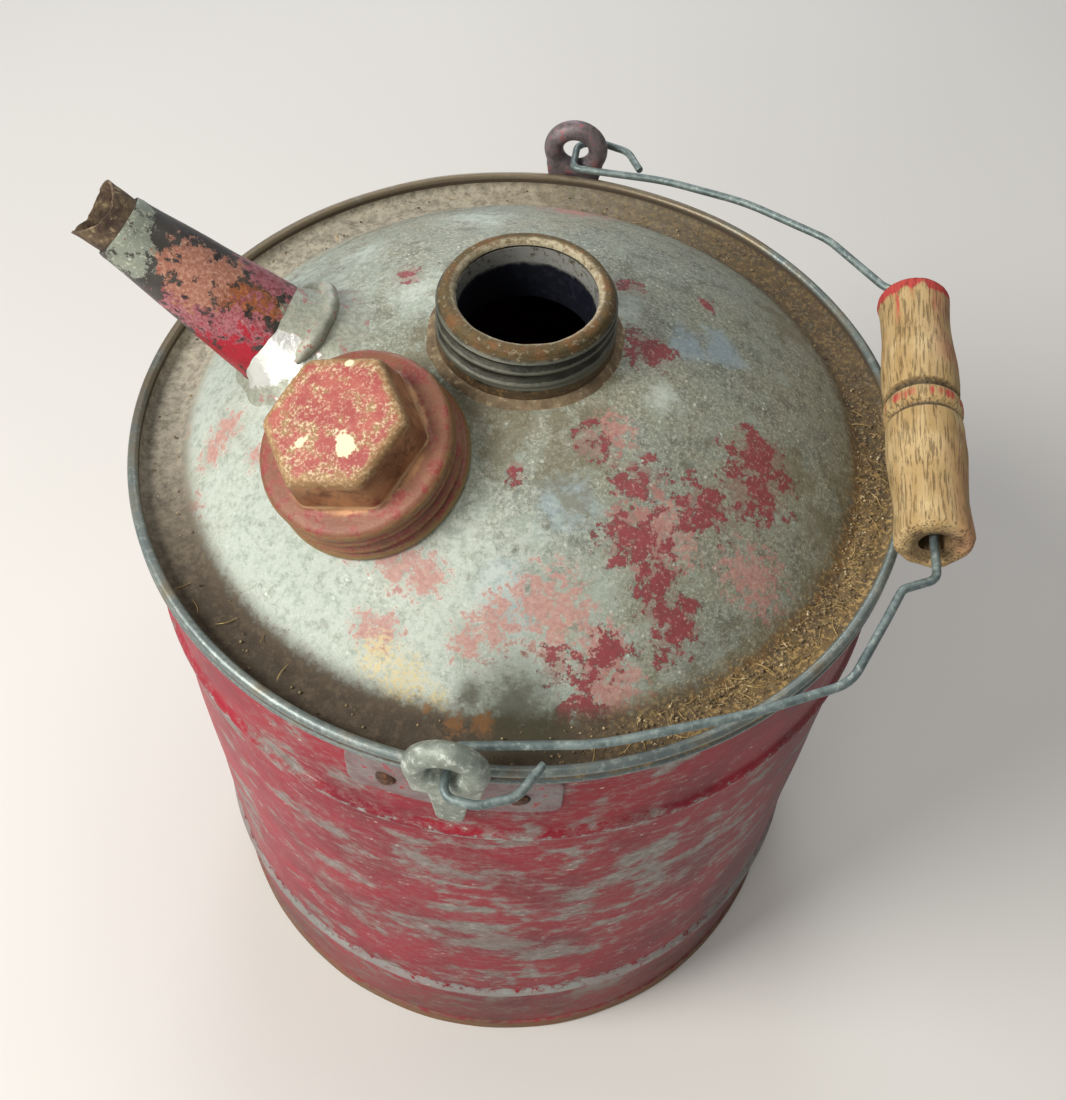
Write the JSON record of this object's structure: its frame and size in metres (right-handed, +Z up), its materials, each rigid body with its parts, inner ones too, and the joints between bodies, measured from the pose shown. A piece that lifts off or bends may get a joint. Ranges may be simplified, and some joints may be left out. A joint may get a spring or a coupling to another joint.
{
  "type": "gas can",
  "caption": "Round metal fuel can with a domed top, threaded filler neck, slanted spout, loose hexagon-topped screw cap, and a wire bail with a turned wooden grip.",
  "frame": {"origin": "centre of the can's round base, on the plane that it stands on", "axes": "+Z up through the filler neck; the bail's ears are on -Y (front) and +Y (rear); the spout points to -X and up; the folded bail's grip lies over the rim at +X"},
  "size_m": [0.3166, 0.3204, 0.3791],
  "materials": {
    "shell_paint": "red paint worn through to zinc",
    "zinc_sheet": "weathered galvanised sheet",
    "rusty_neck": "rusty",
    "sleeve_steel": "dull",
    "solder": "dull bright",
    "spout_steel": "grey steel with red paint and rust",
    "ear_iron": "galvanised",
    "strap_zinc": "thin red paint over zinc",
    "rivet_iron": "rusty",
    "bail_steel": "galvanised wire",
    "grip_wood": "weathered and unvarnished",
    "cap_paint": "red paint worn to rust",
    "cork": "aged cork"
  },
  "bodies": {
    "can": {"body_shell": "shell_paint", "side_seam": "shell_paint", "bottom_pan": "zinc_sheet", "bottom_hoop": "shell_paint", "domed_top": "zinc_sheet", "rolled_rim": "zinc_sheet", "filler_neck": "rusty_neck", "neck_sleeve": "sleeve_steel", "neck_solder": "solder", "spout_tube": "spout_steel", "spout_stub": "rusty_neck", "spout_collar": "spout_steel", "spout_solder": "solder", "front_ear": "ear_iron", "rear_ear": "ear_iron", "front_strap": "strap_zinc", "rear_strap": "strap_zinc", "front_rivet_left": "rivet_iron", "front_rivet_right": "rivet_iron", "rear_rivet_left": "rivet_iron", "rear_rivet_right": "rivet_iron"},
    "bail": {"bail_wire": "bail_steel"},
    "handgrip": {"grip": "grip_wood"},
    "cap": {"screw_cap": "cap_paint", "cap_gasket": "cork"}
  },
  "joints": [
    {"name": "bail_swing", "type": "hinge", "parent": "can", "child": "bail", "pos_m": [0, 0, 0.3], "axis": [0, -1, 0], "range_deg": [0, 138]},
    {"name": "grip_turn", "type": "hinge", "parent": "bail", "child": "handgrip", "pos_m": [0.14577, 0.016, 0.30828], "axis": [-0.0418, 0.9991, -0.0024], "continuous": true},
    {"name": "cap_lift", "type": "slide", "parent": "can", "child": "cap", "axis": [-0.2427, -0.3062, 0.9205], "range_m": [0, 0.045]}
  ]
}
